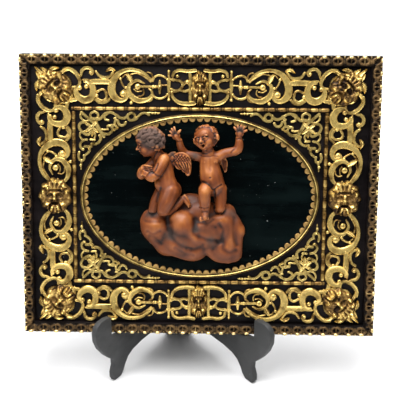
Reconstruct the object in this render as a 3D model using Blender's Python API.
# Cherub wall plaque: an ebonised board with gilt openwork mounts and a carved group, on a plate stand.
# Plaque coordinates are in millimetres: u to the right, v up the plaque, w out of its face. The outer
# front edge of the frame is w = 0, and u = v = 0 is the plaque's middle.
import math

import bmesh
import bpy
from mathutils import Matrix, Vector
from mathutils.geometry import delaunay_2d_cdt

MM = 0.001
GAP = 0.3

PLAQUE_WIDTH = 356.0
PLAQUE_HEIGHT = 282.6
LEAN = math.radians(16.0)
SEAT_HEIGHT = 53.0

BACK = -22.0
FIELD = -6.5
MOULDING_WIDTH = 10.6
BAND_WIDTH = 9.8
BAND_CREST = 2.0
BAND_SEAT = -1.6
CASTING_FACE = -3.9
MASK_RELIEF = 6.5
BEAD_LINE_U = 125.4
BEAD_LINE_V = 88.0
BEAD_HALF_WIDTH = 2.2
MOTIF_PITCH = 12.9
OPENWORK_TOLERANCE = 1.3

OVAL_A = 119.5
OVAL_B = 83.0
RING_WIDTH = 3.6
SCALLOP_DEPTH = 5.0
SCALLOPS = 84
OVAL_SIDES = 32
PANEL_FACE = -5.2

EYE_U = 21.4
EYE_V = 169.4
EYE_W = 983.1

BOARD_THICKNESS = 6.0
LEFT_FOOT = (-84.8, -5.9)
RIGHT_FOOT = (53.1, -7.9)
LEFT_ANGLE = math.radians(59.0)
RIGHT_ANGLE = math.radians(52.0)
STAND_TOP = 186.0
SPINE_RADIUS = 5.2
SPINE_HEIGHT = 104.0

GOLD = (0.72, 0.50, 0.16)
DARK_GOLD = (0.42, 0.27, 0.11)
COPPER_GOLD = (0.62, 0.40, 0.17)
EBONY = (0.018, 0.017, 0.021)
PANEL_BLACK = (0.006, 0.011, 0.010)
CARVED_WOOD = (0.33, 0.12, 0.05)
STAND_BLACK = (0.022, 0.023, 0.024)

for old in list(bpy.data.objects):
    bpy.data.objects.remove(old)


def material(name, colour, roughness, metallic):
    made = bpy.data.materials.new(name)
    made.use_nodes = True
    shader = made.node_tree.nodes["Principled BSDF"]
    shader.inputs["Base Color"].default_value = (*colour, 1.0)
    shader.inputs["Roughness"].default_value = roughness
    shader.inputs["Metallic"].default_value = metallic
    return made


whole = bpy.data.objects.new("whole", None)
bpy.context.collection.objects.link(whole)
plaque = bpy.data.objects.new("plaque", None)
bpy.context.collection.objects.link(plaque)
plaque.parent = whole
middle = PLAQUE_HEIGHT / 2
plaque.location = (0, middle * math.sin(LEAN) * MM, (SEAT_HEIGHT + middle * math.cos(LEAN)) * MM)
plaque.rotation_euler = (math.pi / 2 - LEAN, 0, 0)


def add(name, mesh, colour, roughness, metallic, parent=plaque):
    bmesh.ops.recalc_face_normals(mesh, faces=mesh.faces)
    bmesh.ops.scale(mesh, vec=(MM, MM, MM), verts=mesh.verts)
    data = bpy.data.meshes.new(name)
    mesh.to_mesh(data)
    mesh.free()
    made = bpy.data.objects.new(name, data)
    data.materials.append(material(name, colour, roughness, metallic))
    bpy.context.collection.objects.link(made)
    made.parent = parent
    return made


# Flat shapes: many overlapping outlines become one region, and the region becomes one closed solid

def inside_triangles(points, edges, extra=()):
    """Triangles between the region's border edges, found by flooding in from the outside."""
    found = delaunay_2d_cdt([Vector(p) for p in list(points) + list(extra)], edges, [], 0, 1e-4)
    places, triangles, first_edges = found[0], found[2], found[4]
    border = {frozenset(e) for e, source in zip(found[1], first_edges) if source}
    beside = {}
    for number, corners in enumerate(triangles):
        for a, b in zip(corners, corners[1:] + corners[:1]):
            beside.setdefault(frozenset((a, b)), []).append(number)
    inside = {}
    queue = []
    for edge, owners in beside.items():
        if len(owners) == 1:
            queue.append((owners[0], edge in border))
    while queue:
        number, state = queue.pop()
        if number in inside:
            continue
        inside[number] = state
        corners = triangles[number]
        for a, b in zip(corners, corners[1:] + corners[:1]):
            edge = frozenset((a, b))
            for other in beside[edge]:
                if other not in inside:
                    queue.append((other, state != (edge in border)))
    return places, [triangles[n] for n, state in inside.items() if state]


def region_border(shapes, tolerance):
    """Border points and edges of the union of convex outlines, without points that lie on a line."""
    points = []
    faces = []
    for shape in shapes:
        faces.append(list(range(len(points), len(points) + len(shape))))
        points.extend(Vector(p) for p in shape)
    found = delaunay_2d_cdt(points, [], faces, 1, 1e-3)
    used = [f for f, sources in zip(found[2], found[5]) if sources]
    count = {}
    for corners in used:
        for a, b in zip(corners, corners[1:] + corners[:1]):
            count.setdefault(frozenset((a, b)), []).append((a, b))
    after = {}
    for sides in count.values():
        if len(sides) == 1:
            a, b = sides[0]
            after.setdefault(a, []).append(b)
    loops = []
    while after:
        start = next(iter(after))
        loop = [start]
        here = start
        while True:
            step = after[here].pop()
            if not after[here]:
                del after[here]
            if step == start:
                break
            loop.append(step)
            here = step
        loops.append([found[0][i] for i in loop])
    kept = []
    edges = []
    for loop in loops:
        loop = simpler(loop, tolerance)
        if len(loop) < 3 or abs(area(loop)) < 0.4:
            continue
        first = len(kept)
        kept.extend(loop)
        edges.extend((first + i, first + (i + 1) % len(loop)) for i in range(len(loop)))
    return kept, edges


def area(loop):
    return sum(a.x * b.y - b.x * a.y for a, b in zip(loop, loop[1:] + loop[:1])) / 2


def simpler(loop, tolerance):
    """Drop the point that moves the outline least, again and again, while that is under tolerance."""
    loop = list(loop)
    while len(loop) > 3:
        cost = []
        for i, point in enumerate(loop):
            a = loop[i - 1]
            b = loop[(i + 1) % len(loop)]
            run = b - a
            cost.append(abs(run.x * (point.y - a.y) - run.y * (point.x - a.x)) / max(run.length, 1e-6))
        least = min(range(len(loop)), key=cost.__getitem__)
        if cost[least] > tolerance:
            break
        loop.pop(least)
    return loop


def solid_from(points, edges, bottom, top, extra=()):
    """Closed solid over a region: flat below at bottom, and above at top(x, y)."""
    mesh = bmesh.new()
    low_places, low = inside_triangles(points, edges)
    high_places, high = inside_triangles(points, edges, extra)
    lows = {}
    highs = {}

    def low_vert(p):
        key = (round(p.x, 3), round(p.y, 3))
        if key not in lows:
            lows[key] = mesh.verts.new((p.x, p.y, bottom))
        return lows[key]

    def high_vert(p):
        key = (round(p.x, 3), round(p.y, 3))
        if key not in highs:
            highs[key] = mesh.verts.new((p.x, p.y, top(p.x, p.y)))
        return highs[key]

    count = {}
    for corners in low:
        mesh.faces.new([low_vert(low_places[i]) for i in reversed(corners)])
        for a, b in zip(corners, corners[1:] + corners[:1]):
            count.setdefault(frozenset((a, b)), []).append((a, b))
    for corners in high:
        mesh.faces.new([high_vert(high_places[i]) for i in corners])
    for sides in count.values():
        if len(sides) == 1:
            a, b = (low_places[i] for i in sides[0])
            mesh.faces.new([low_vert(a), low_vert(b), high_vert(b), high_vert(a)])
    return mesh


# Ribbons and discs, the strokes of the openwork

def smooth_path(points, steps):
    """Catmull-Rom curve through points of any number of values."""
    ends = [[2 * a - b for a, b in zip(points[0], points[1])]]
    ends += [list(p) for p in points]
    ends += [[2 * a - b for a, b in zip(points[-1], points[-2])]]
    path = []
    for i in range(1, len(ends) - 2):
        for k in range(steps):
            t = k / steps
            path.append([0.5 * (2 * b + (c - a) * t + (2 * a - 5 * b + 4 * c - d) * t * t
                                + (3 * b - a - 3 * c + d) * t ** 3)
                         for a, b, c, d in zip(*ends[i - 1:i + 3])])
    path.append(list(points[-1]))
    return path


def disc(u, v, radius, sides=6):
    turn = math.pi / sides
    return [[(u + radius * math.cos(2 * math.pi * i / sides + turn),
              v + radius * math.sin(2 * math.pi * i / sides + turn)) for i in range(sides)]]


def ribbon(*points):
    """Quads along points of (u, v, width)."""
    shapes = []
    sides = []
    for i, (u, v, width) in enumerate(points):
        before = points[max(i - 1, 0)]
        after = points[min(i + 1, len(points) - 1)]
        run = Vector((after[0] - before[0], after[1] - before[1])).normalized()
        across = Vector((-run.y, run.x)) * width / 2
        sides.append((Vector((u, v)) + across, Vector((u, v)) - across))
    for (a, b), (c, d) in zip(sides, sides[1:]):
        quad = [b, d, c, a]
        if area([Vector(p) for p in quad]) > 0.05:
            shapes.append(quad)
    return shapes


def arc(u, v, radius, start, end, width, sides=6):
    points = []
    for i in range(sides + 1):
        turn = math.radians(start + (end - start) * i / sides)
        points.append((u + radius * math.cos(turn), v + radius * math.sin(turn), width))
    return ribbon(*points)


def flip(shapes, over_u, over_v):
    changed = []
    for shape in shapes:
        moved = [(-p[0] if over_u else p[0], -p[1] if over_v else p[1]) for p in shape]
        changed.append(moved[::-1] if over_u != over_v else moved)
    return changed


def clip(shapes, axis, limit, keep):
    """Cut convex outlines at a line across u (axis 0) or v (axis 1); keep is 1 above it, -1 below."""
    cut = []
    for shape in shapes:
        kept = []
        for a, b in zip(shape, list(shape[1:]) + [shape[0]]):
            da = (a[axis] - limit) * keep
            db = (b[axis] - limit) * keep
            if da >= 0:
                kept.append(tuple(a))
            if da * db < 0:
                t = da / (da - db)
                kept.append((a[0] + (b[0] - a[0]) * t, a[1] + (b[1] - a[1]) * t))
        if len(kept) > 2:
            cut.append(kept)
    return cut


DIAGONAL = 33.3
SIDE_SQUEEZE = 0.95
SIDE_SHIFT = 40.0
JOINT_U = 103.7
JOINT_V = JOINT_U - DIAGONAL


def across_corner(shapes):
    """The side frieze repeats the top frieze, mirrored in the corner's diagonal and a little narrower."""
    return [[(-SIDE_SHIFT - SIDE_SQUEEZE * p[1], -DIAGONAL - p[0]) for p in reversed(shape)]
            for shape in shapes]


CORNER_MASK = (-143.0, 109.0)
CENTRE_MASK = (0.0, 108.5)
SIDE_MASK = (-144.8, 0.0)


def corner_half():
    shapes = ribbon((-136, 126, 2.6), (-129, 127, 3.2), (-122.5, 122.5, 3.4), (-118.8, 116, 3.2),
                    (-119.5, 110.5, 3.2))
    shapes += ribbon((-120, 111, 3.6), (-122.5, 106, 4), (-120.5, 100, 5.4), (-114, 96.4, 6.4),
                     (-107, 98.6, 6.6), (-104.4, 106, 6), (-106.5, 112.5, 5))
    shapes += ribbon((-119, 117, 2), (-117, 122, 2.2), (-115.4, 126, 2.8), (-110, 128, 3),
                     (-105.8, 125, 2.4), (-108.4, 122.4, 2.2))
    shapes += ribbon((-116, 115.5, 2), (-111, 114.6, 4.6), (-103, 114.4, 5))
    shapes += ribbon((-105, 102, 2), (-112.4, 110, 3.4))
    shapes += ribbon((-134, 97, 9), (-124, 104, 8))
    return shapes


def strap_arm():
    """The squared strap beside each corner, with its ring below and its bow above."""
    shapes = ribbon((-104, 114.4, 5), (-86.5, 114.4, 5))
    shapes += ribbon((-102.4, 116, 3.4), (-101.8, 96, 3.4))
    shapes += arc(-97, 101.2, 4.9, 190, -90, 2.4, 6)
    shapes += ribbon((-102.5, 97, 2.4), (-97, 94.6, 3), (-86.5, 97.5, 3))
    shapes += ribbon((-102.6, 124.5, 2), (-98.5, 119.4, 2.6), (-92, 118.6, 2.8), (-85, 125, 3.6))
    shapes += ribbon((-96, 119.5, 2), (-96, 115, 2))
    return shapes


def top_half():
    shapes = strap_arm()
    shapes += ribbon((-46.8, 115.5, 2.4), (-53, 121, 3), (-61, 125.2, 3.3), (-71, 126.2, 3.8),
                     (-80, 122.4, 4.8), (-86.2, 114, 6.2), (-86.4, 104.5, 6.6), (-81, 97.6, 5.4),
                     (-74.2, 98, 3.8), (-72.4, 103.5, 3.2), (-77, 106, 3))
    shapes += disc(-76.6, 102.4, 3.2)
    shapes += ribbon((-72, 121.6, 2.2), (-69.4, 118.2, 4.4), (-66, 111.6, 2.4))
    shapes += ribbon((-55, 112.6, 2.2), (-61.5, 115, 3), (-68.6, 111, 4), (-69.4, 103.4, 4.8),
                     (-63.5, 97.2, 5.2), (-54.5, 96.8, 4), (-48.2, 101.5, 2.8), (-50.5, 108, 2))
    shapes += disc(-60.8, 109.4, 3)
    shapes += ribbon((-60, 109.7, 2.3), (-31, 109.9, 2.3))
    shapes += ribbon((-39.8, 103.4, 1.8), (-39.8, 109.6, 3.8), (-39.8, 115.6, 1.8))
    shapes += ribbon((-47, 116, 2.2), (-41.5, 120.6, 2.2), (-31, 116.5, 2.2))
    shapes += ribbon((-48, 101.5, 2.2), (-41, 98.2, 2.2), (-31, 103, 2.2))
    shapes += ribbon((-30.4, 96.4, 2.2), (-30.4, 125.4, 2.2))
    shapes += ribbon((-31, 117.5, 2.4), (-23, 116.4, 2.4), (-17, 111.6, 3.4), (-23, 106.4, 2.4),
                     (-31, 105.5, 2.4))
    shapes += ribbon((-26.6, 119.4, 2.8), (-21, 125.6, 3.2), (-8, 126, 3))
    shapes += ribbon((-26.6, 102, 3), (-21, 94.8, 3.8), (-8, 92.8, 3.4))
    shapes += ribbon((-17.5, 112, 4), (-8, 112, 7))
    return shapes


def centre_back():
    return [[(-10, 91.4), (10, 91.4), (10, 127.4), (-10, 127.4)]]


def side_half():
    shapes = across_corner(strap_arm())
    shapes += ribbon((-138.4, 41, 3), (-133.4, 39.6, 3.2), (-131.6, 46, 3.6), (-136.5, 52, 5.4),
                     (-145, 53.2, 6.4), (-154.5, 49, 5.6), (-160, 40.5, 4.4), (-161, 31, 3.4),
                     (-157, 22, 2.8), (-152, 15, 4))
    shapes += disc(-136.4, 41.8, 3.2)
    shapes += ribbon((-160, 38, 2.4), (-149, 34, 3))
    shapes += disc(-144.5, 28, 6.4, 6)
    shapes += ribbon((-146, 34, 2.6), (-138, 33.2, 3.2), (-132.2, 27, 3.4), (-131, 14, 3))
    shapes += ribbon((-144.5, 24, 3), (-144.5, 14, 3))
    shapes += disc(SIDE_MASK[0], SIDE_MASK[1], 17.4, 8)
    return shapes


def spandrel_quarter():
    shapes = ribbon((-118, 83.6, 2.4), (-103.5, 71.5, 3))
    shapes += arc(-105, 80, 3.4, 225, -80, 2.2, 5)
    shapes += ribbon((-112, 75, 2.4), (-119, 72.6, 2.2), (-119, 66, 2.2), (-111, 62, 2.2))
    shapes += disc(-107.4, 69.4, 6, 8)
    shapes += ribbon((-104, 73.5, 3), (-95.6, 59.4, 2.6))
    shapes += ribbon((-105, 77.4, 2.4), (-98.6, 77.6, 2.4), (-93.4, 82.8, 2.6), (-86.4, 83.2, 2.6),
                     (-81.5, 79, 2.4), (-74.6, 78.8, 2.2), (-70.6, 83, 2.2), (-65.4, 82.6, 2.2),
                     (-64.4, 77.4, 2.2))
    shapes += ribbon((-97.4, 62.4, 2.4), (-90, 62.8, 2.4), (-87, 68.6, 2.4), (-92.4, 70.6, 2.4))
    shapes += ribbon((-89, 70.6, 2), (-84.4, 70.6, 2.2), (-82.6, 75.4, 2.2), (-79, 71.6, 2.2),
                     (-74, 74, 2.2), (-75, 79, 2.2))
    shapes += ribbon((-65, 78, 2.2), (-57.5, 82.6, 2.2), (-50, 82.6, 2), (-40.5, 83.2, 1.8))
    shapes += ribbon((-99.4, 62, 2.4), (-99.6, 55.4, 2.4), (-106, 51.4, 2.4), (-114, 49.6, 2.2))
    shapes += ribbon((-117.5, 64, 2.2), (-119, 55, 2.2), (-116.6, 46.4, 2.2), (-113, 49.8, 2))
    shapes += ribbon((-110, 51, 2.2), (-110.6, 44.4, 2.2), (-116.6, 39, 2.2), (-118.6, 27.4, 2))
    shapes += ribbon((-117.4, 38.6, 2.2), (-120.4, 42, 2.2), (-117.8, 48, 2.2))
    return shapes


# Masks: the face is a low dome with a brow, nose, cheeks and a crown of leaves

def bump(x, y, at_x, at_y, wide, tall, height):
    return height * math.exp(-((x - at_x) / wide) ** 2 - ((y - at_y) / tall) ** 2)


def mask_height(x, y):
    """Relief at x, y for a mask whose half width is 1 and whose chin is down."""
    dome = math.sqrt(max(0.0, 1 - (x / 1.02) ** 2 - (y / 1.12) ** 2))
    nose = bump(x, y, 0, -0.12, 0.16, 0.3, 0.4)
    brow = bump(abs(x), y, 0.3, 0.28, 0.26, 0.14, 0.3)
    crown = bump(x, y, 0, 0.82, 0.5, 0.24, 0.4)
    eyes = bump(abs(x), y, 0.34, 0.04, 0.16, 0.12, -0.24)
    return max(0.0, dome + nose + brow + crown + eyes) * 0.72


MASK_RINGS = ((0.0, 1), (0.32, 5), (0.66, 7), (0.98, 8))


def mask_points(place, turn, half_width, half_height):
    """Sample places on a mask, as plaque coordinates."""
    points = []
    for radius, count in MASK_RINGS:
        for i in range(count):
            angle = 2 * math.pi * i / count + math.pi / 2
            x = radius * half_width * math.cos(angle)
            y = radius * half_height * math.sin(angle)
            points.append((place[0] + x * math.cos(turn) - y * math.sin(turn),
                           place[1] + x * math.sin(turn) + y * math.cos(turn)))
    return points


def casting(name, shapes, masks):
    """Openwork casting; masks are (place, turn, half width, half height)."""
    for place, turn, half_width, half_height in masks:
        outline = [Vector(p) for p in mask_points(place, turn, half_width * 1.04, half_height * 1.04)]
        shapes = shapes + [outline[-MASK_RINGS[-1][1]:]]
    points, edges = region_border(shapes, OPENWORK_TOLERANCE)
    extra = []
    for place, turn, half_width, half_height in masks:
        extra += mask_points(place, turn, half_width, half_height)

    def top(u, v):
        height = CASTING_FACE
        for place, turn, half_width, half_height in masks:
            du = u - place[0]
            dv = v - place[1]
            x = (du * math.cos(turn) + dv * math.sin(turn)) / half_width
            y = (dv * math.cos(turn) - du * math.sin(turn)) / half_height
            if x * x + y * y < 1.35:
                height = max(height, CASTING_FACE + MASK_RELIEF * mask_height(x, y))
        return height

    mesh = solid_from(points, edges, FIELD + GAP, top, extra)
    return add(name, mesh, GOLD, 0.36, 1.0)


def frieze():
    for up, over_v in (("top", False), ("bottom", True)):
        for side, over_u in (("left", False), ("right", True)):
            half = corner_half()
            place = (CORNER_MASK[0] * (-1 if over_u else 1), CORNER_MASK[1] * (-1 if over_v else 1))
            turn = math.atan2(-place[0], place[1])
            shapes = clip(clip(half + across_corner(half), 0, -JOINT_U - GAP / 2, -1),
                          1, JOINT_V + GAP / 2, 1)
            shapes = flip(shapes, over_u, over_v)
            casting(f"corner_casting_{up}_{side}", shapes, [(place, turn, 13.0, 16.5)])
        half = clip(top_half(), 0, -JOINT_U + GAP / 2, 1)
        shapes = flip(half, False, over_v) + flip(half, True, over_v)
        shapes += flip(centre_back(), False, over_v)
        place = (0.0, CENTRE_MASK[1] * (-1 if over_v else 1))
        casting(f"frieze_{up}", shapes, [(place, 0.0, 8.0, 17.0)])
    for side, over_u in (("left", False), ("right", True)):
        half = clip(side_half(), 1, JOINT_V - GAP / 2, -1)
        shapes = flip(half, over_u, False) + flip(half, over_u, True)
        place = (SIDE_MASK[0] * (-1 if over_u else 1), SIDE_MASK[1])
        casting(f"frieze_{side}", shapes, [(place, 0.0, 16.0, 17.5)])


def spandrels():
    for up, over_v in (("top", False), ("bottom", True)):
        for side, over_u in (("left", False), ("right", True)):
            shapes = flip(spandrel_quarter(), over_u, over_v)
            points, edges = region_border(shapes, OPENWORK_TOLERANCE)
            mesh = solid_from(points, edges, FIELD + GAP, lambda u, v: CASTING_FACE - 0.4)
            add(f"spandrel_{up}_{side}", mesh, GOLD, 0.34, 1.0)


# The frame's straight parts

def box_mesh(low, high):
    mesh = bmesh.new()
    bmesh.ops.create_cube(mesh, size=1)
    middle_of = [(a + b) / 2 for a, b in zip(low, high)]
    bmesh.ops.scale(mesh, vec=[b - a for a, b in zip(low, high)], verts=mesh.verts)
    bmesh.ops.translate(mesh, vec=middle_of, verts=mesh.verts)
    return mesh


SIDES = {"top": 0, "left": 1, "bottom": 2, "right": 3}


def side_place(side, along, inward, w):
    """A place on one side of the frame, measured along the side and inward from the outer edge."""
    turns = SIDES[side]
    half = (PLAQUE_HEIGHT if turns % 2 == 0 else PLAQUE_WIDTH) / 2
    u, v = along, half - inward
    for _ in range(turns):
        u, v = -v, u
    return (u, v, w)


def mouldings():
    section = [(0, FIELD + GAP), (0, -1.9), (MOULDING_WIDTH - 0.8, -1.9), (MOULDING_WIDTH, -3.4),
               (MOULDING_WIDTH, FIELD + GAP)]
    for side, turns in SIDES.items():
        half = (PLAQUE_WIDTH if turns % 2 == 0 else PLAQUE_HEIGHT) / 2 - GAP / 2
        mesh = bmesh.new()
        rings = []
        for end in (-1, 1):
            rings.append([mesh.verts.new(side_place(side, end * (half - d), d, w)) for d, w in section])
        for i in range(len(section)):
            k = (i + 1) % len(section)
            mesh.faces.new((rings[0][i], rings[0][k], rings[1][k], rings[1][i]))
        mesh.faces.new(rings[0])
        mesh.faces.new(rings[1])
        add(f"moulding_{side}", mesh, EBONY, 0.35, 0.0)


def knobbed_strip(side, half, width, bottom, low, high, pitch):
    """A closed strip with mitred ends, whose crest rises and falls once each pitch."""
    count = round(2 * half / pitch)
    mesh = bmesh.new()

    def vert(along, inward, w):
        return mesh.verts.new(side_place(side, along * (1 - inward / half), inward, w))

    outer, inner, crest = [], [], []
    for i in range(count + 1):
        along = -half + 2 * half * i / count
        outer.append(vert(along, 0, bottom))
        inner.append(vert(along, width, bottom))
        crest.append(vert(along, width / 2, low))
        if i < count:
            crest.append(vert(along + half / count, width / 2, high))
    for i in range(count):
        mesh.faces.new((outer[i], outer[i + 1], crest[2 * i + 1]))
        mesh.faces.new((inner[i + 1], inner[i], crest[2 * i + 1]))
        mesh.faces.new((outer[i], inner[i], inner[i + 1], outer[i + 1]))
        mesh.faces.new((outer[i], crest[2 * i + 1], crest[2 * i]))
        mesh.faces.new((inner[i], crest[2 * i], crest[2 * i + 1]))
        mesh.faces.new((outer[i + 1], crest[2 * i + 2], crest[2 * i + 1]))
        mesh.faces.new((inner[i + 1], crest[2 * i + 1], crest[2 * i + 2]))
    mesh.faces.new((outer[0], crest[0], inner[0]))
    mesh.faces.new((outer[-1], inner[-1], crest[-1]))
    return mesh


def bands():
    for side, turns in SIDES.items():
        half = (PLAQUE_WIDTH if turns % 2 == 0 else PLAQUE_HEIGHT) / 2 - GAP
        mesh = knobbed_strip(side, half, BAND_WIDTH, BAND_SEAT, BAND_CREST - 1.2, BAND_CREST, MOTIF_PITCH)
        add(f"gilt_band_{side}", mesh, DARK_GOLD, 0.4, 1.0)


def bead_and_reel():
    for side, turns in SIDES.items():
        level = turns % 2 == 0
        half = (BEAD_LINE_U + BEAD_HALF_WIDTH) if level else (BEAD_LINE_V - BEAD_HALF_WIDTH - GAP)
        edge = PLAQUE_HEIGHT / 2 - BEAD_LINE_V if level else PLAQUE_WIDTH / 2 - BEAD_LINE_U
        half_width = BEAD_HALF_WIDTH
        section = [(-half_width, FIELD + GAP), (-half_width * 0.7, CASTING_FACE - 0.6),
                   (half_width * 0.7, CASTING_FACE - 0.6), (half_width, FIELD + GAP)]
        mesh = bmesh.new()
        ends = [[mesh.verts.new(side_place(side, end * half, edge + d, w)) for d, w in section]
                for end in (-1, 1)]
        for i in range(len(section)):
            k = (i + 1) % len(section)
            mesh.faces.new((ends[0][i], ends[0][k], ends[1][k], ends[1][i]))
        mesh.faces.new(ends[0])
        mesh.faces.new(ends[1])
        add(f"bead_and_reel_{side}", mesh, GOLD, 0.32, 1.0)


# The oval field

def ellipse(a, b, count, turn=0.0):
    return [Vector((a * math.cos(2 * math.pi * (i + turn) / count),
                    b * math.sin(2 * math.pi * (i + turn) / count))) for i in range(count)]


def loop_edges(first, count):
    return [(first + i, first + (i + 1) % count) for i in range(count)]


def oval():
    inner_a, inner_b = OVAL_A - RING_WIDTH, OVAL_B - RING_WIDTH
    panel = ellipse(inner_a - GAP, inner_b - GAP, OVAL_SIDES)
    mesh = solid_from(panel, loop_edges(0, OVAL_SIDES), FIELD + GAP, lambda u, v: PANEL_FACE)
    add("oval_panel", mesh, PANEL_BLACK, 0.22, 0.0)

    lobes = []
    for i in range(SCALLOPS):
        for share, depth in ((0.0, 0.9), (0.5, SCALLOP_DEPTH)):
            turn = 2 * math.pi * (i + share) / SCALLOPS
            lobes.append(Vector(((inner_a - GAP - depth) * math.cos(turn),
                                 (inner_b - GAP - depth) * math.sin(turn))))
    rim = ellipse(inner_a - GAP, inner_b - GAP, OVAL_SIDES)
    edges = loop_edges(0, len(lobes)) + loop_edges(len(lobes), OVAL_SIDES)
    mesh = solid_from(lobes + rim, edges, PANEL_FACE + GAP, lambda u, v: PANEL_FACE + 0.9)
    add("scalloped_liner", mesh, COPPER_GOLD, 0.4, 1.0)

    count = OVAL_SIDES
    mesh = bmesh.new()
    section = [(0, FIELD + GAP), (RING_WIDTH * 0.4, CASTING_FACE + 0.6), (RING_WIDTH, FIELD + GAP)]
    rings = []
    for i in range(count):
        turn = 2 * math.pi * i / count
        rings.append([mesh.verts.new(((OVAL_A - d) * math.cos(turn), (OVAL_B - d) * math.sin(turn), w))
                      for d, w in section])
    for i in range(count):
        here, there = rings[i], rings[(i + 1) % count]
        for k in range(len(section)):
            n = (k + 1) % len(section)
            mesh.faces.new((here[k], here[n], there[n], there[k]))
    add("oval_ring", mesh, GOLD, 0.34, 1.0)


# The carved group: balls and tapered limbs, melted into one closed skin

def seen(u, v, w):
    """A place read on the face plane, moved along the line of sight to its own depth."""
    share = (EYE_W - w) / EYE_W
    return Vector((EYE_U + (u - EYE_U) * share, EYE_V + (v - EYE_V) * share, w))


def ball(mesh, place, radii, turn=0.0, detail=3):
    matrix = Matrix.Translation(seen(*place)) @ Matrix.Rotation(math.radians(turn), 4, "Z")
    matrix = matrix @ Matrix.Diagonal((*radii, 1.0))
    bmesh.ops.create_icosphere(mesh, subdivisions=detail, radius=1.0, matrix=matrix)


def limb(mesh, *stations):
    """A run of balls along a smooth path of (u, v, w, radius)."""
    path = smooth_path(stations, 8)
    for (au, av, aw, ar), (bu, bv, bw, br) in zip(path, path[1:]):
        length = math.dist((au, av, aw), (bu, bv, bw))
        steps = max(1, math.ceil(length / (0.3 * max(min(ar, br), 0.8))))
        for k in range(steps):
            t = k / steps
            u, v, w, r = (a + (b - a) * t for a, b in zip((au, av, aw, ar), (bu, bv, bw, br)))
            ball(mesh, (u, v, w), (r, r, r), detail=2)
    u, v, w, r = path[-1]
    ball(mesh, (u, v, w), (r, r, r), detail=2)


CLOUD = (((-42, -30, 1), (17, 18, 16)), ((-17, -23, 9), (14.5, 14, 15)), ((-17, -42, 6), (20, 17, 15)),
         ((-6, -51, 2), (16, 15.5, 12)), ((-31, -47, 0), (14.5, 13.5, 11)), ((8, -34, 7), (17, 17, 16)),
         ((22, -28, 6), (14, 14, 14)), ((40, -33, 2), (6.8, 8.6, 8)), ((25, -50, 3), (15, 14.5, 13)),
         ((35, -57, 0), (9, 9, 8)), ((27, -15, -1), (9, 9, 9)), ((-49, -21, -1), (9.4, 10.5, 10)),
         ((-9, -4, -3), (14, 8, 7)), ((-26, -11, 0), (10, 9, 8)), ((0, -14, 1), (14, 11, 11)))


def hand(mesh, palm, tips, thumb, thickness=1.25):
    ball(mesh, palm, (4.4, 4.4, 2.4))
    for tip in tips + (thumb,):
        base = [p + (t - p) * 0.42 for p, t in zip(palm, tip)]
        limb(mesh, (*base, thickness * 1.25), (*tip, thickness * 0.85))


def left_child(mesh):
    ball(mesh, (-48.6, 57.6, 15), (13.6, 11.8, 12.6), 12)
    ball(mesh, (-54.6, 49.4, 15), (7.2, 7.6, 9.6), 25)
    ball(mesh, (-53.6, 43.2, 15), (3.4, 3.2, 4.4))
    ball(mesh, (-61.2, 49.6, 15), (2.0, 1.7, 2.0))
    ball(mesh, (-60.6, 56.4, 15), (2.6, 4.4, 6.0))
    limb(mesh, (-44.5, 47, 13, 6.6), (-40, 40, 12, 7.2))
    limb(mesh, (-36.5, 36, 11, 9.4), (-35.5, 27, 11.5, 9.6), (-34, 17, 12, 10.2), (-30.5, 8.5, 12, 11.4))
    ball(mesh, (-25.6, 7, 8), (8.2, 9.2, 9.4))
    limb(mesh, (-36, 38.6, 18, 5.8), (-40.6, 28, 22, 5.4), (-46.6, 19.6, 23, 4.7), (-51.5, 22, 22.5, 3.9),
         (-52.6, 27.2, 21, 3.2))
    ball(mesh, (-52, 29.4, 20.5), (4.2, 3.6, 3.4))
    limb(mesh, (-44, 36, 5, 5.2), (-53.6, 24, 6, 4.8), (-57.4, 20.6, 9, 4.4), (-57.8, 26.4, 13, 4.0),
         (-53.2, 30.6, 17, 3.2))
    limb(mesh, (-28.6, 5, 15, 9.6), (-32.6, -4, 18, 8.2), (-36.4, -13, 19, 6.2))
    limb(mesh, (-36.6, -13.6, 17, 5.4), (-29.6, -12, 13, 5.0), (-20.6, -5.6, 10, 3.8), (-15, -0.6, 8, 2.8))
    limb(mesh, (-16.6, 2.6, 8, 2.0), (-12.6, -2.6, 9.5, 2.0), (-10.2, -7.4, 10, 1.5))
    limb(mesh, (-38, 5, 5, 7), (-43.4, -4, 6, 5.8), (-46, -12.4, 6, 4.8))
    limb(mesh, (-28, 39.6, 6, 3.0), (-20.6, 41.6, 5, 3.8), (-14.6, 38.2, 5, 3.6), (-12.2, 31.2, 5, 2.6),
         (-11, 24.6, 5, 1.6))
    limb(mesh, (-27, 35.6, 5, 2.6), (-20.6, 34.6, 5, 2.8), (-14.4, 28, 5, 1.6))
    limb(mesh, (-24, 40.6, 5, 3.6), (-18, 38.6, 5, 4.4), (-14.6, 33.6, 5, 2.8))


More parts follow.
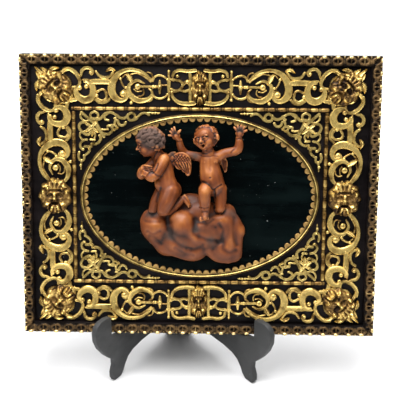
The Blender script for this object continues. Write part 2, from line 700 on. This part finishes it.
def right_child(mesh):
    ball(mesh, (6.2, 60.4, 15), (11.6, 11.4, 11.8), -8)
    ball(mesh, (3.8, 54.6, 17.5), (8.8, 7.2, 8.4), -12)
    ball(mesh, (1.4, 56.6, 25.2), (1.7, 1.6, 2.0))
    limb(mesh, (7.4, 50, 13, 6.0), (9.6, 43.6, 11.5, 6.8))
    limb(mesh, (10.2, 38, 11, 9.4), (10.8, 30, 11.5, 9.8), (12.6, 21.4, 13, 11.0), (15.6, 11.6, 11, 10.6))
    limb(mesh, (3.4, 40.6, 11, 5.4), (-6.4, 43.4, 11, 4.9), (-16.6, 46.4, 10, 4.3), (-19.4, 52, 10, 3.8),
         (-21.6, 58.4, 11, 3.0))
    hand(mesh, (-23.6, 62.6, 12), ((-30.8, 62.6, 13), (-29, 67.6, 13), (-25.8, 70.2, 13)),
         (-19.2, 67.4, 14))
    limb(mesh, (17.6, 42, 11, 6.0), (27, 46, 11, 5.0), (38.4, 48.4, 10.5, 4.5), (40.4, 54.4, 10.5, 4.2),
         (39.6, 61.4, 11, 3.0))
    hand(mesh, (39.4, 65.4, 12), ((36.2, 71.4, 13), (40, 72.2, 13), (43.4, 71, 13)), (33.8, 68.8, 14))
    limb(mesh, (43, 66, 12.5, 1.4), (46, 68.2, 13, 1.0))
    limb(mesh, (10, 9.6, 12, 8.2), (7.2, 9.4, 18, 7.6), (5.4, 7.4, 23, 6.7), (5.2, 1, 23.5, 6.1),
         (5.6, -6, 21.5, 5.8), (5.8, -14, 20, 4.2))
    limb(mesh, (5.8, -15.4, 20, 4.0), (5.6, -19.6, 24.5, 3.3), (5.4, -21, 27, 2.4))
    limb(mesh, (20.4, 8, 10, 7.4), (21.4, -2, 12, 6.3), (21.2, -9.6, 14, 5.2))
    limb(mesh, (21, -9.8, 14, 5.0), (20, -12, 8, 4.6), (16, -11, 2, 4))
    limb(mesh, (21, 39, 3, 2.4), (25, 35, 3, 2.4), (25.6, 28, 3, 1.6))


GROUP_BACK = PANEL_FACE + GAP
GROUP_VOXEL = 1.1
GROUP_KEEP = 0.0205


def carved_group():
    mesh = bmesh.new()
    for place, radii in CLOUD:
        ball(mesh, place, radii)
    left_child(mesh)
    right_child(mesh)
    group = add("cherub_group", mesh, CARVED_WOOD, 0.45, 0.0)
    remesh = group.modifiers.new("one skin", "REMESH")
    remesh.mode = "VOXEL"
    remesh.voxel_size = GROUP_VOXEL * MM
    smooth = group.modifiers.new("melt", "SMOOTH")
    smooth.factor = 0.5
    smooth.iterations = 4
    fewer = group.modifiers.new("facets", "DECIMATE")
    fewer.ratio = GROUP_KEEP
    reach = 200.0
    cutter = add("group_back_cut", box_mesh((-reach, -reach, GROUP_BACK), (reach, reach, reach)),
                 CARVED_WOOD, 0.5, 0.0)
    cutter.hide_render = True
    cutter.display_type = "WIRE"
    cut = group.modifiers.new("flat back", "BOOLEAN")
    cut.operation = "INTERSECT"
    cut.solver = "EXACT"
    cut.object = cutter
    return group


# The stand

def back_face(z):
    """How far back the plaque's back lies at height z."""
    bottom_y = -BACK * math.cos(LEAN)
    bottom_z = SEAT_HEIGHT + BACK * math.sin(LEAN)
    return bottom_y + (z - bottom_z) * math.tan(LEAN)


def stand_outline(foot_y, angle, reach):
    """Side view of one board: s along it from the tip of the front foot, z up."""
    rise = math.sin(angle)
    far_side = BOARD_THICKNESS * math.cos(angle)

    def seat(s):
        return SEAT_HEIGHT - (foot_y + s * rise + far_side) * math.tan(LEAN) - GAP

    def rest(z):
        return (back_face(z) + GAP - foot_y) / rise

    heel = rest(seat(30)) + 0.2
    front = [(-4.5, 78), (-12, 80.2), (-21, 80.4), (-27.4, 77.6), (-30.4, 71), (-29.8, 61.5), (-25.2, 50.5),
             (-16.4, 38.6), (-8, 30), (-2.6, 25.2), (-2.2, 18), (-5.2, 10.4), (-5.2, 4), (-2.4, 0),
             (7.6, 0), (12.6, 4.4), (16, 10.4), (21.6, 16.6), (30, 20.2), (45, 22)]
    back = [(reach * 0.72, 22), (reach * 0.84, 17), (reach * 0.9, 6), (reach * 0.9, 0), (reach, 0),
            (reach, 96), (reach * 0.97, 118), (reach * 0.9, 142), (reach * 0.86, 166)]
    top = [(rest(STAND_TOP) + 8, STAND_TOP - 2), (rest(STAND_TOP) + 0.6, STAND_TOP)]
    return front + back + top + [(heel, seat(heel)), (-4.5, seat(-4.5))]


def stand():
    left_run = Vector((math.cos(LEFT_ANGLE), math.sin(LEFT_ANGLE)))
    right_run = Vector((-math.cos(RIGHT_ANGLE), math.sin(RIGHT_ANGLE)))
    start = Vector(LEFT_FOOT)
    apart = Vector(RIGHT_FOOT) - start
    cross = left_run.x * right_run.y - left_run.y * right_run.x
    left_reach = (apart.x * right_run.y - apart.y * right_run.x) / cross
    right_reach = (apart.x * left_run.y - apart.y * left_run.x) / cross
    apex = start + left_run * left_reach
    boards = (("left", LEFT_FOOT, LEFT_ANGLE, left_run, left_reach, -1),
              ("right", RIGHT_FOOT, RIGHT_ANGLE, right_run, right_reach, 1))
    for side, foot, angle, run, reach, outward in boards:
        points = [Vector(p) for p in stand_outline(foot[1], angle, reach - SPINE_RADIUS - GAP)]
        levels = sorted((0.0, outward * BOARD_THICKNESS))
        mesh = solid_from(points, loop_edges(0, len(points)), levels[0], lambda s, z: levels[1])
        board = add(f"stand_board_{side}", mesh, STAND_BLACK, 0.6, 0.0, parent=whole)
        along = Vector((run.x, run.y, 0))
        up = Vector((0, 0, 1))
        turn = Matrix((along, up, along.cross(up))).transposed().to_4x4()
        board.matrix_local = Matrix.Translation((foot[0] * MM, foot[1] * MM, 0)) @ turn
    mesh = bmesh.new()
    bmesh.ops.create_cone(mesh, cap_ends=True, segments=12, radius1=SPINE_RADIUS - 0.1,
                          radius2=SPINE_RADIUS - 0.1, depth=SPINE_HEIGHT)
    bmesh.ops.translate(mesh, vec=(apex.x, apex.y, SPINE_HEIGHT / 2), verts=mesh.verts)
    add("stand_spine", mesh, STAND_BLACK, 0.6, 0.0, parent=whole)


half_u = PLAQUE_WIDTH / 2
half_v = PLAQUE_HEIGHT / 2
add("backboard", box_mesh((-half_u, -half_v, BACK), (half_u, half_v, FIELD)), EBONY, 0.35, 0.0)
mouldings()
bands()
frieze()
spandrels()
bead_and_reel()
oval()
carved_group()
stand()

# The whole part is moved so that the middle of its footprint is the origin
bpy.context.view_layer.update()
shown = bpy.context.evaluated_depsgraph_get()
depths = []
for thing in bpy.data.objects:
    if thing.type == "MESH" and not thing.hide_render:
        ready = thing.evaluated_get(shown)
        depths += [(ready.matrix_world @ Vector(corner)).y for corner in ready.bound_box]
whole.location.y = -(min(depths) + max(depths)) / 2
bpy.context.view_layer.update()
